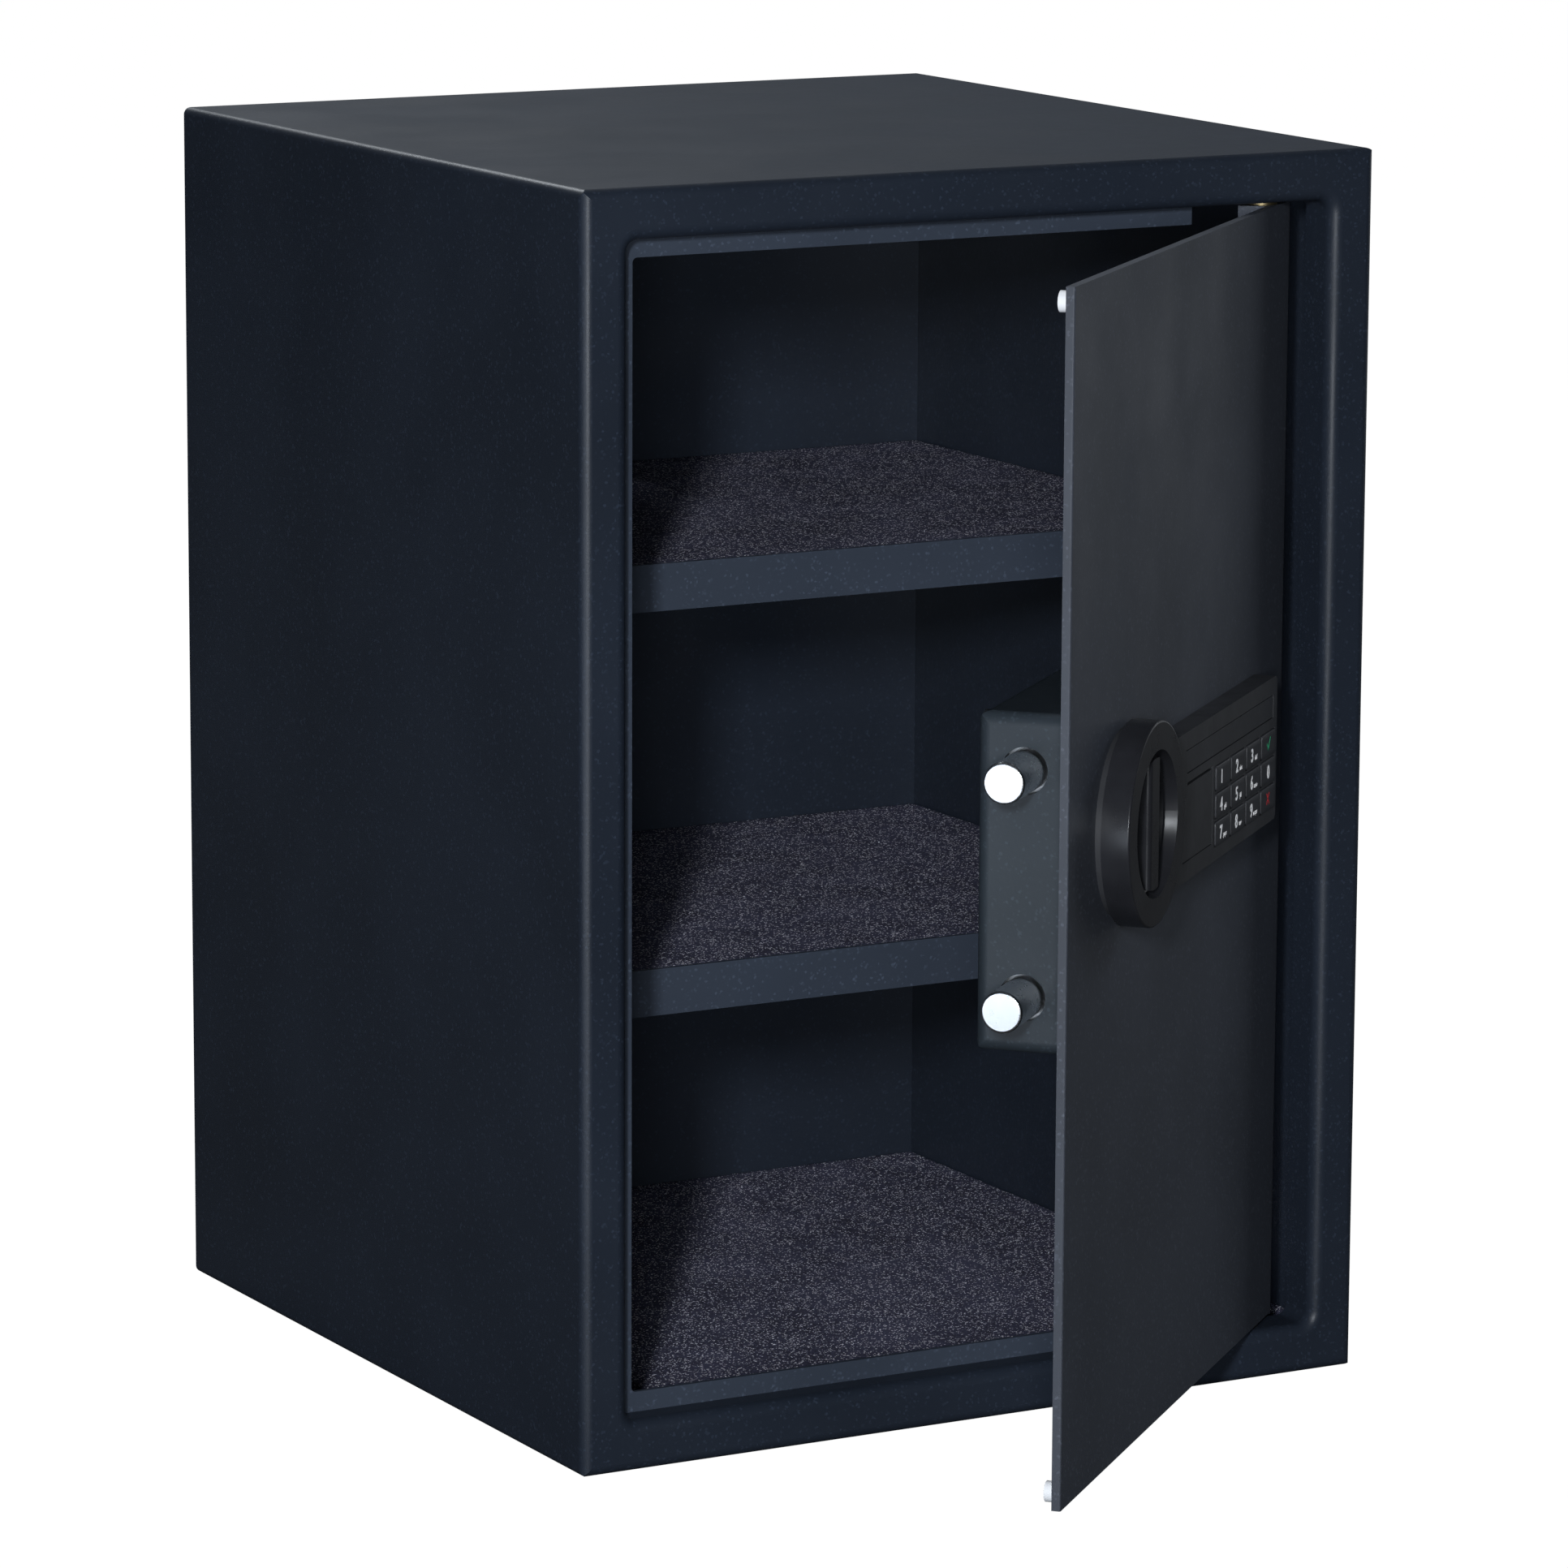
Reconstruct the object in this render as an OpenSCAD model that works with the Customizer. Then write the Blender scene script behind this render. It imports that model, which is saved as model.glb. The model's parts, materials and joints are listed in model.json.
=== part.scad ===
// Electronic safe for a hotel room: a sheet-steel cabinet with two carpeted shelves,
// and a steel door that stands ajar on two concealed hinge pins at the right.
// Origin: centre of the base. The door faces -Y, up is +Z. Sizes in millimetres.

/* [Cabinet] */
// Outside width
cab_w = 355; // [352:1:362]
// Outside depth, without the open door
cab_d = 360; // [350:5:420]
// Outside height
cab_h = 500; // [498:1:510]
// Thickness of the cabinet's sheet steel
sheet = 2; // [1.5:0.5:2]
// Radius of the bends round the front
front_bend = 4; // [3:0.5:4.5]
// Width of the steel border round the opening
border = 20; // [19:0.5:21]
// Radius of the roll along the opening's edge
roll_r = 5; // [3:0.5:5]
// Radius of the opening's corners
opening_r = 5; // [3:0.5:6]
// Depth of the opening's return wall
return_d = 19; // [18:0.5:21]
// Height of the door stop round the opening
stop_w = 8; // [7:0.5:9]
// Depth of the door stop's face behind the front
stop_d = 13.2; // [13:0.1:14]

/* [Shelves] */
// Height of the floor mat's top
floor_top = 14; // [12:1:16]
// Height of the lower shelf's mat
shelf_low_top = 174; // [165:1:180]
// Height of the upper shelf's mat
shelf_up_top = 338; // [325:1:350]
// Thickness of the carpet mats
mat_t = 2.5; // [2:0.5:3]
// Setback of the shelves' front behind the cabinet's front
shelf_setback = 101; // [90:1:130]
// Height of the shelves' front flange
flange_h = 19; // [16:1:22]

/* [Door] */
// Width of the door plate
door_w = 311; // [309:0.5:312]
// Height of the door plate
door_h = 457; // [455:0.5:458]
// Thickness of the door plate
door_t = 3.5; // [3:0.5:3.5]
// Depth of the closed door's face behind the front
door_recess = 6; // [5.5:0.5:6]
// Angle at which the door stands open
door_ajar = 42.5; // [0:0.5:90]
// Depth of the flange bent back along the hinge side
door_flange = 14; // [12:0.5:15]
// Distance of the hinge pins from the opening's right wall
hinge_in = 25; // [24:0.5:26]
// Depth of the hinge pins behind the cabinet's front
hinge_back = 13; // [12.5:0.5:13.5]
// Diameter of the hinge pins
hinge_pin_d = 6; // [5:0.5:6]

/* [Lock] */
// Width of the lock case on the door's back
case_w = 190; // [185:1:200]
// Height of the lock case
case_h = 129; // [127:1:133]
// Depth of the lock case
case_d = 43; // [42:0.5:46]
// Distance of the lock case from the door's free edge
case_in = 37; // [36:0.5:38]
// Diameter of the locking bolts
bolt_d = 16; // [14:0.5:16]
// Distance between the two bolts
bolt_gap = 86; // [82:1:88]
// Distance of the bolts' axes behind the door plate
bolt_back = 24.5; // [24:0.5:25]
// Length of bolt that stands out of the case when unlocked
bolt_out = 27; // [24:0.5:28]
// Travel of the bolts
bolt_throw = 16; // [14:0.5:16]

/* [Knob] */
// Diameter of the knob
knob_d = 78; // [74:1:79]
// Height of the knob's face above the door
knob_h = 14; // [13:0.5:18]
// Distance of the knob's axis from the door's free edge
knob_u = 71; // [70:0.5:72]
// Height of the knob's axis
knob_z = 269.5; // [268:0.5:271]
// Diameter of the recess round the grip
recess_d = 56; // [50:1:58]
// Width of the grip bar
grip_w = 13; // [11:0.5:15]

/* [Keypad] */
// Height of the keypad housing above the door
pad_h = 9; // [9:0.5:10]
// Distance of the housing's right end from the door's free edge
pad_right = 264.5; // [264:0.5:270]
// Height of the housing's lower edge
pad_low = 236; // [234:0.5:236]
// Height of the housing's upper edge
pad_high = 294; // [294:0.5:296]
// Width of one key
key_w = 20.6; // [18:0.2:20.6]
// Height of one key
key_h = 9.6; // [8:0.2:9.6]
// Travel of the keys
key_travel = 1; // [0.5:0.1:1]

/* [Hidden] */
$fn = 64;
CABINET_NODES = ["body_shell", "back_panel", "front_frame", "stop_lip", "bolt_keeper",
    "floor_pan", "floor_mat", "shelf_upper", "shelf_upper_mat", "shelf_lower",
    "shelf_lower_mat", "shelf_brackets_upper", "shelf_brackets_lower",
    "hinge_bracket_upper", "hinge_bracket_lower"];
DOOR_NODES = ["door_plate", "hinge_knuckle_upper", "hinge_knuckle_lower",
    "hinge_pin_upper", "hinge_pin_lower", "hinge_washers", "door_bumpers", "lock_case",
    "case_posts", "case_screws", "bolt_guide", "solenoid_body", "battery_tray",
    "batteries", "reset_switch", "keypad_housing", "housing_screws",
    "indicator_window", "circuit_board", "spindle_bush", "lock_barrel", "barrel_nut"];
MOVING_NODES = ["knob", "knob_spindle", "drive_cam", "locking_bolts", "bolt_bar",
    "solenoid_plunger", "override_cover", "lock_plug", "battery_cover", "reset_button"];
KEY_NODES = ["key_1", "key_2", "key_3", "key_enter", "key_4", "key_5", "key_6", "key_0",
    "key_7", "key_8", "key_9", "key_clear"];

// Colours
STEEL_BODY = "#1c2026";
STEEL_DOOR = "#303236";
STEEL_INNER = "#24272d";
CARPET = "#2b2a32";
PLASTIC = "#26282b";
GLOSS = "#0d0e10";
CHROME = "#e4e7ea";
ZINC = "#a9adb0";
BRASS = "#c2a052";

// Cabinet
EPS = 0.01;
over = 1;                                  // overshoot of a cutting tool
front = -cab_d / 2;                        // Y of the cabinet's front
back = cab_d / 2;
front_plate = 3;                           // thickness of the front plate
front_rim = 6;                             // depth of the front frame's outer rim
inner_w = cab_w - 2 * sheet;
inner_h = cab_h - 2 * sheet;
open_w = cab_w - 2 * border;
open_h = cab_h - 2 * border;
wrap_r = 3;                                // radius of the bends along the depth
stop_back = stop_d + sheet;                // depth of the door stop's back
stop_end = 100;                            // X where the top and bottom stops end
keeper_back = door_recess + door_t + bolt_back - bolt_d / 2 - 1;
keeper_x = -open_w / 2 + stop_w;           // X of the stop's inner edge
gap = 0.3;                                 // play between loose pieces
floor_front = 26;                          // depth where the floor pan starts
anchor_hole_d = 11;
floor_anchor_x = 240;                      // spacing of the floor anchor holes
floor_anchor_y = 220;
wall_anchor_z = 200;                       // spacing of the rear anchor holes
wall_anchor_mid = 260;                     // height midway between them
bracket_w = 16;                            // width of a shelf bracket's ledge
bracket_h = 12;

// Door, placed as if it were shut and then swung open by on_door()
door_x = -door_w / 2;                      // X of the free edge
door_z = (cab_h - door_h) / 2;             // Z of the lower edge
door_mid = cab_h / 2;
face_y = front + door_recess;              // Y of the door's face
rear_y = face_y + door_t;                  // Y of the door plate's back
hinge_x = open_w / 2 - hinge_in;
hinge_y = front + hinge_back;
flange_bend = 6;                           // outer radius of the hinge-side bend
edge_soft = 0.8;                           // rounding of the plate's free edge
knuckle_w = 16;
knuckle_d = 11;
knuckle_h = 22;
hinge_plate_w = 36;                        // width of the plates that hold the pins
hinge_plate_t = 3;
pin_reach = 6;                             // how far a pin stands past the plate
washer_d = 12;
bumper_d = 8;
bumper_t = stop_d - door_recess - door_t - gap;
bumper_u = 5;                              // bumper's distance from the free edge
bumper_end = 6;                            // bumper's distance from the plate's end

// Lock
case_wall = 1.5;
case_r = 5;                                // radius of the lock case's edges
case_right = case_in + case_w;
bolt_hole_d = bolt_d + 2;
bolt_tip = case_in - bolt_out;             // distance of the tips from the free edge
bar_left = 66;                             // left edge of the bolt bar, unlocked
bar_w = 26;
bar_t = 3;
cam_reach = bolt_throw / sqrt(2);          // radius at which the cam's pin runs
cam_pin_d = 5;
cam_back = 18;                             // depth of the cam's front face
cam_t = 3;
spindle_d = 8;
spindle_in = 4;                            // depth of the spindle in the knob
bush_in = 4;                               // how far the bush stands behind the plate
bush_d = 12;
guide_x = 43.5;                            // left face of the bolt guide
guide_t = 3;
run = 0.05;                                // radial clearance of a running fit
plunger_d = 5;
plunger_u = 71;
plunger_z = 232;
plunger_seat = 3;                          // depth at which the plunger's bore ends
plunger_out = 2.5;                         // how far the plunger stands out at rest
solenoid_size = [20, 28, 20];
post_d = 7;
screw_d = 4;
screw_grip = 8;                            // length of thread in a post
head_d = 8;
head_h = 2.4;
post_us = [case_in + 19, case_right - 8];
post_dz = case_h / 2 - 6.5;

// Battery compartment, in the lock case's rear wall
tray_u = 140;
tray_z = 222;
tray_w = 62;
tray_h = 56;
tray_wall = 1.5;
cell_d = 14;
cell_len = 50;
cell_pitch = 14.6;
tray_floor = 24;                           // depth of the tray's closed side
cover_lap = 2;                             // battery cover's overlap
cover_t = 2;
rail_w = 3;
reset_u = 205;
reset_z = 300;
reset_d = 7;
reset_deep = 9;                            // depth of the switch behind the case's wall
reset_travel = 1.5;

// Keypad housing
pad_wall = 2;
knob_gap = 3;                              // gap between the knob and the door
knob_clear = 1;                            // play between the knob and the housing
insert_r = 60;                             // left ends of the inserts curve round the knob
insert_gap = 0.4;
window_z = [277.6, 287];
window_right = 259;
window_t = 1.2;
cover_z = [243.4, 273.4];
cover_right = 168;
cover_sink = 2.2;                          // depth of the override cover's recess
nail_gap = 0.8;                            // extra gap over the cover, for a fingernail
barrel_u = 150;
barrel_z = 258.4;
barrel_d = 18;
plug_d = 12;
key_u = 182;                               // first column of keys
key_z = 268.4;                             // first row of keys
key_step_u = 22.8;
key_step_z = 11;
key_proud = 0.6;
key_play = 0.3;
key_flange = 0.5;
key_flange_t = 1.5;
key_low = 4.7;                             // height of the keys' underside
screw_spots = [[122, 241], [122, 289], [257, 290.5]];
pad_screw_d = 3;
pad_screw_in = 5;                          // length of thread in the housing
board_size = [86, 36, 1.6];
barrel_deep = 18;                          // how far the lock barrel reaches behind the door

// A rectangle with round corners, centred
module rounded_rect(w, h, r) {
    square([w - 2 * r, h], center = true);
    square([w, h - 2 * r], center = true);
    for (x = [-1, 1], z = [-1, 1])
        translate([x * (w / 2 - r), z * (h / 2 - r)]) circle(r);
}

// Stands an outline up in the XZ plane, between two depths behind the front
module slab(from, to) {
    translate([0, front + to, cab_h / 2]) rotate([90, 0, 0]) linear_extrude(to - from)
        children();
}

// Outline of a block w wide and d deep whose front corners are round
module round_front(w, d, r) {
    translate([-w / 2, r]) square([w, d - r]);
    translate([-w / 2 + r, 0]) square([w - 2 * r, r + EPS]);
    for (x = [-1, 1]) translate([x * (w / 2 - r), r]) circle(r);
}

// Cuts an opening's front edge to a roll: w by h inside, corners of radius c
module roll_cutter(w, h, c, r) {
    module side(half) {
        difference() {
            translate([-half - r, -over]) square([2 * (half + r), r + over]);
            for (s = [-1, 1]) translate([s * (half + r), r]) circle(r);
        }
    }
    module corner() {
        rotate([-90, 0, 0]) rotate_extrude() difference() {
            translate([0, -over]) square([c + r, r + over]);
            translate([c + r, r]) circle(r);
        }
    }
    translate([0, front, cab_h / 2]) {
        translate([0, 0, -h / 2 + c]) linear_extrude(h - 2 * c) side(w / 2);
        translate([-w / 2 + c, 0, 0]) rotate([0, 90, 0]) linear_extrude(w - 2 * c)
            side(h / 2);
        for (x = [-1, 1], z = [-1, 1])
            translate([x * (w / 2 - c), 0, z * (h / 2 - c)]) corner();
    }
}

// Swings what is drawn as shut out to the door's resting angle
module on_door() {
    translate([hinge_x, hinge_y, 0]) rotate([0, 0, door_ajar])
        translate([-hinge_x, -hinge_y, 0]) children();
}

// On the door's face: u from the free edge, z above the base, third axis outwards
module on_face(u, z) {
    on_door() translate([door_x + u, face_y, z]) rotate([90, 0, 0]) children();
}

// On the door plate's back: third axis into the cabinet
module on_back(u, z) {
    on_door() translate([door_x + u, rear_y, z]) rotate([90, 0, 0]) mirror([0, 0, 1])
        children();
}

// A block on the XY plane with every edge round but those on that plane
module soft_box(w, h, d, r) {
    intersection() {
        linear_extrude(d) rounded_rect(w, h, r);
        translate([0, h / 2, d]) rotate([90, 0, 0]) linear_extrude(h)
            mirror([0, 1]) round_front(w, d, r);
        translate([-w / 2, 0, d]) rotate([90, 0, 90]) linear_extrude(w)
            mirror([0, 1]) round_front(h, d, r);
    }
}

module body_shell() {
    color(STEEL_BODY) difference() {
        slab(front_rim, cab_d - sheet) difference() {
            rounded_rect(cab_w, cab_h, wrap_r);
            rounded_rect(inner_w, inner_h, wrap_r - sheet);
        }
        floor_anchors();
    }
}

// The four holes for bolts through the floor
module floor_anchors() {
    for (x = [-1, 1], y = [-1, 1])
        translate([x * floor_anchor_x / 2, y * floor_anchor_y / 2, -over])
            cylinder(d = anchor_hole_d, h = floor_top + 2 * over);
}

module back_panel() {
    color(STEEL_BODY) difference() {
        slab(cab_d - sheet, cab_d) rounded_rect(cab_w, cab_h, wrap_r);
        for (z = [-1, 1])
            translate([0, back + over, wall_anchor_mid + z * wall_anchor_z / 2])
                rotate([90, 0, 0]) cylinder(d = anchor_hole_d, h = sheet + 2 * over);
    }
}

module front_frame() {
    color(STEEL_BODY) difference() {
        union() {
            difference() {
                intersection() {
                    slab(0, front_rim) rounded_rect(cab_w, cab_h, wrap_r);
                    translate([0, front, 0]) linear_extrude(cab_h)
                        round_front(cab_w, front_rim, front_bend);
                    translate([-cab_w / 2, front, cab_h / 2]) rotate([0, 90, 0])
                        linear_extrude(cab_w) round_front(cab_h, front_rim, front_bend);
                }
                slab(front_plate, front_rim + over)
                    rounded_rect(inner_w, inner_h, wrap_r - sheet);
            }
            slab(sheet, return_d)
                rounded_rect(open_w + 2 * sheet, open_h + 2 * sheet, opening_r + sheet);
        }
        slab(-over, return_d + over) rounded_rect(open_w, open_h, opening_r);
        roll_cutter(open_w, open_h, opening_r, roll_r);
        translate([hinge_x, hinge_y, 0]) cylinder(d = hinge_pin_d + 2, h = cab_h);
    }
}

module stop_lip() {
    color(STEEL_INNER) slab(stop_d, stop_back) difference() {
        rounded_rect(open_w, open_h, opening_r);
        translate([stop_w, 0]) rounded_rect(open_w, open_h - 2 * stop_w, sheet);
        translate([stop_end, -cab_h / 2]) square([cab_w, cab_h]);
    }
}

module bolt_keeper() {
    color(STEEL_INNER) translate([keeper_x - sheet, front + stop_back, border + stop_w])
        cube([sheet, keeper_back - stop_back, open_h - 2 * stop_w]);
}

module floor_pan() {
    pan_h = floor_top - mat_t - sheet;
    pan_w = inner_w - 2 * wrap_r;
    pan_d = cab_d - sheet - floor_front;
    color(STEEL_INNER) difference() {
        translate([-pan_w / 2, front + floor_front, sheet]) cube([pan_w, pan_d, pan_h]);
        translate([-pan_w / 2 + sheet, front + floor_front + sheet, -over])
            cube([pan_w - 2 * sheet, pan_d - 2 * sheet, pan_h + over]);
        floor_anchors();
    }
}

module floor_mat() {
    color(CARPET) translate([-inner_w / 2 + gap, front + floor_front + gap, floor_top - mat_t])
        cube([inner_w - 2 * gap, cab_d - sheet - floor_front - 2 * gap, mat_t]);
}

// A folded shelf; top is the height of its front flange
module shelf(top) {
    w = inner_w - 2 * gap;
    d = cab_d - sheet - shelf_setback - gap;
    plate_top = flange_h - mat_t;
    color(STEEL_INNER) translate([-w / 2, front + shelf_setback, top - flange_h])
        difference() {
            cube([w, d, flange_h]);
            translate([-over, sheet, plate_top]) cube([w + 2 * over, d, mat_t + over]);
            translate([sheet, sheet, -over])
                cube([w - 2 * sheet, d - 2 * sheet, plate_top - sheet + over]);
        }
}

module shelf_mat(top) {
    color(CARPET)
        translate([-inner_w / 2 + gap, front + shelf_setback + sheet, top - mat_t])
            cube([inner_w - 2 * gap, cab_d - 2 * sheet - shelf_setback - gap, mat_t]);
}

// The two angle brackets that a shelf stands on
module shelf_brackets(top) {
    len = cab_d - sheet - shelf_setback - 20;
    color(STEEL_INNER) for (s = [-1, 1]) mirror([s < 0 ? 1 : 0, 0, 0])
        translate([inner_w / 2, front + shelf_setback + 10, top - flange_h]) {
            translate([-bracket_w, 0, -sheet]) cube([bracket_w, len, sheet]);
            translate([-sheet, 0, -bracket_h]) cube([sheet, len, bracket_h]);
        }
}

// The plate on the opening's return wall that a hinge pin turns in
module hinge_bracket() {
    t = hinge_plate_t;
    color(ZINC) difference() {
        translate([hinge_x - hinge_plate_w / 2, front + front_plate, -t])
            cube([hinge_plate_w, return_d + 2, t]);
        translate([hinge_x, hinge_y, -t - over])
            cylinder(d = hinge_pin_d + 2 * run, h = t + 2 * over);
    }
}

module hinge_bracket_lower() {
    translate([0, 0, border - sheet]) hinge_bracket();
}

module hinge_bracket_upper() {
    translate([0, 0, cab_h - border + sheet + hinge_plate_t]) hinge_bracket();
}

// The door plate's section, seen from above
module door_section() {
    bend = flange_bend;
    right = door_x + door_w;
    translate([door_x, face_y + edge_soft]) square([door_w - bend, door_t - edge_soft]);
    translate([door_x + edge_soft, face_y]) square([door_w - bend - edge_soft, door_t]);
    translate([door_x + edge_soft, face_y + edge_soft]) circle(edge_soft);
    translate([right - door_t, face_y + bend]) square([door_t, door_flange - bend]);
    translate([right - bend, face_y + bend]) intersection() {
        difference() {
            circle(bend);
            circle(bend - door_t);
        }
        translate([0, -bend]) square(bend);
    }
}

module door_plate() {
    color(STEEL_DOOR) difference() {
        on_door() translate([0, 0, door_z]) linear_extrude(door_h) door_section();
        through_door(knob_u, knob_z, bush_d);
        through_door(barrel_u, barrel_z, barrel_d + 2 * gap);
        through_door(key_u + key_step_u, barrel_z, bush_d);
        for (p = screw_spots) through_door(p[0], p[1], screw_d);
    }
}

// A hole of diameter d through the door plate
module through_door(u, z, d) {
    on_face(u, z) translate([0, 0, -door_t - over])
        cylinder(d = d, h = door_t + 2 * over);
}

// The block behind the plate that holds a hinge pin; low is its bottom
module hinge_knuckle(low) {
    color(STEEL_DOOR) on_door() difference() {
        translate([hinge_x - knuckle_w / 2, rear_y, low])
            cube([knuckle_w, knuckle_d, knuckle_h]);
        translate([hinge_x, hinge_y, low - over])
            cylinder(d = hinge_pin_d, h = knuckle_h + 2 * over);
    }
}

module hinge_pin(low) {
    color(ZINC) translate([hinge_x, hinge_y, low])
        cylinder(d = hinge_pin_d, h = knuckle_h + pin_reach);
}

module hinge_washers() {
    play = 0.1;
    h = (open_h - door_h) / 2 - 2 * play;
    color(BRASS) for (low = [border + play, cab_h - border - play - h])
        translate([hinge_x, hinge_y, low]) difference() {
            cylinder(d = washer_d, h = h);
            translate([0, 0, -over]) cylinder(d = hinge_pin_d, h = h + 2 * over);
        }
}

module door_bumpers() {
    color("#c9ccd0") for (z = [door_z + bumper_end, door_z + door_h - bumper_end])
        on_back(bumper_u, z) cylinder(d = bumper_d, h = bumper_t);
}

module lock_case() {
    inner_r = case_r - case_wall;
    color(STEEL_INNER) difference() {
        union() {
            on_back(case_in + case_w / 2, door_mid) difference() {
                soft_box(case_w, case_h, case_d, case_r);
                translate([0, 0, -over]) soft_box(case_w - 2 * case_wall,
                    case_h - 2 * case_wall, case_d - case_wall + over, inner_r);
            }
            battery_rails();
        }
        for (s = [-1, 1]) on_back(case_in - over, door_mid + s * bolt_gap / 2)
            translate([0, 0, bolt_back]) rotate([0, 90, 0])
                cylinder(d = bolt_hole_d, h = 3 * case_r);
        on_back(tray_u + tray_wall, tray_z + tray_wall)
            translate([0, 0, case_d - 2 * case_wall])
                cube([tray_w - 2 * tray_wall, tray_h - 2 * tray_wall, 3 * case_wall]);
        on_back(reset_u, reset_z) translate([0, 0, case_d - 2 * case_wall])
            cylinder(d = reset_d + 2 * gap, h = 3 * case_wall);
        for (u = post_us, s = [-1, 1]) on_back(u, door_mid + s * post_dz)
            translate([0, 0, case_d - 2 * case_wall])
                cylinder(d = screw_d + gap, h = 3 * case_wall);
    }
}

// The two hooked rails that the battery cover slides in
module battery_rails() {
    lip = 1.2;
    hook = 2;
    rise = cover_t + 2 * gap;
    for (s = [-1, 1]) on_back(tray_u, tray_z + tray_h / 2) mirror([0, s < 0 ? 1 : 0, 0])
        translate([0, tray_h / 2 + cover_lap + gap, case_d - EPS]) {
            cube([tray_w, rail_w, rise + lip]);
            translate([0, -hook, rise]) cube([tray_w, hook + rail_w, lip]);
        }
}

module case_posts() {
    color(ZINC) for (u = post_us, s = [-1, 1]) on_back(u, door_mid + s * post_dz)
        difference() {
            cylinder(d = post_d, h = case_d - case_wall);
            translate([0, 0, case_d - case_wall - screw_grip])
                cylinder(d = screw_d, h = screw_grip + over);
        }
}

module case_screws() {
    slot_l = 5;
    slot_w = 1;
    slot_h = 1.2;
    color(ZINC) for (u = post_us, s = [-1, 1]) on_back(u, door_mid + s * post_dz)
        difference() {
            union() {
                translate([0, 0, case_d - case_wall - screw_grip])
                    cylinder(d = screw_d, h = screw_grip + case_wall + EPS);
                translate([0, 0, case_d]) cylinder(d = head_d, h = head_h);
            }
            for (a = [0, 90]) rotate(a)
                translate([-slot_l / 2, -slot_w / 2, case_d + head_h - slot_h])
                    cube([slot_l, slot_w, slot_h + over]);
        }
}

module bolt_guide() {
    reach = bolt_gap + bolt_d + 5;
    depth = bolt_back + bolt_d / 2 + guide_t;
    foot = [12, 16, 2];
    foot_spread = 48;
    color(ZINC) difference() {
        union() {
            on_back(guide_x, door_mid - reach / 2) cube([guide_t, reach, depth]);
            for (s = [-1, 1]) on_back(guide_x, door_mid + (s * foot_spread - foot[1]) / 2)
                cube(foot);
        }
        for (s = [-1, 1]) on_back(guide_x - over, door_mid + s * bolt_gap / 2)
            translate([0, 0, bolt_back]) rotate([0, 90, 0])
                cylinder(d = bolt_d + 2 * run, h = guide_t + 2 * over);
    }
}

module solenoid_body() {
    color("#3c5a86") difference() {
        on_back(plunger_u - solenoid_size[0] / 2, plunger_z - solenoid_size[1] / 2)
            cube(solenoid_size);
        on_back(plunger_u, plunger_z) translate([0, 0, plunger_seat])
            cylinder(d = plunger_d + 2 * run, h = solenoid_size[2]);
    }
}

module solenoid_plunger() {
    color(ZINC) on_back(plunger_u, plunger_z) translate([0, 0, plunger_seat + EPS])
        cylinder(d = plunger_d, h = solenoid_size[2] - plunger_seat + plunger_out);
}

module battery_tray() {
    depth = case_d - case_wall - tray_floor;
    color(GLOSS) on_back(tray_u, tray_z) translate([0, 0, tray_floor]) difference() {
        cube([tray_w, tray_h, depth]);
        translate([tray_wall, tray_wall, tray_wall])
            cube([tray_w - 2 * tray_wall, tray_h - 2 * tray_wall, depth]);
    }
}

module batteries() {
    first = tray_u + tray_w / 2 - 1.5 * cell_pitch;
    tip_d = 5;
    tip_h = 1;
    color(BRASS) for (i = [0:3])
        on_back(first + i * cell_pitch, tray_z + (tray_h - cell_len) / 2)
            translate([0, 0, tray_floor + tray_wall + cell_d / 2 + EPS]) rotate([-90, 0, 0])
                union() {
                    cylinder(d = cell_d, h = cell_len - tip_h);
                    cylinder(d = tip_d, h = cell_len);
                }
}

module battery_cover() {
    rib = [1.5, 20, 0.8];
    rib_in = 8;
    color(PLASTIC) on_back(tray_u, tray_z - cover_lap)
        translate([0, 0, case_d + gap / 2]) {
            cube([tray_w, tray_h + 2 * cover_lap, cover_t]);
            for (i = [0:3]) translate([rib_in + 4 * i, (tray_h - rib[1]) / 2 + cover_lap, cover_t])
                cube(rib);
        }
}

module reset_switch() {
    body = [12, 12, 8];
    color(GLOSS) on_back(reset_u - body[0] / 2, reset_z - body[1] / 2)
        translate([0, 0, case_d - reset_deep - body[2]]) cube(body);
}

module reset_button() {
    color("#b3202a") on_back(reset_u, reset_z)
        translate([0, 0, case_d - reset_deep + reset_travel + gap]) {
            cylinder(d = reset_d, h = reset_deep - gap);
            cylinder(d = reset_d + 4, h = 2);
        }
}

// The two bolts, with softly rounded tips
module locking_bolts() {
    tip_r = 1;
    len = bar_left - bolt_tip;
    color(CHROME) for (s = [-1, 1]) on_back(bolt_tip, door_mid + s * bolt_gap / 2)
        translate([0, 0, bolt_back]) rotate([0, 90, 0]) rotate_extrude() union() {
            translate([0, tip_r]) square([bolt_d / 2, len - tip_r]);
            square([bolt_d / 2 - tip_r, len]);
            intersection() {
                translate([bolt_d / 2 - tip_r, tip_r]) circle(tip_r);
                square([bolt_d, len]);
            }
        }
}

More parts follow.
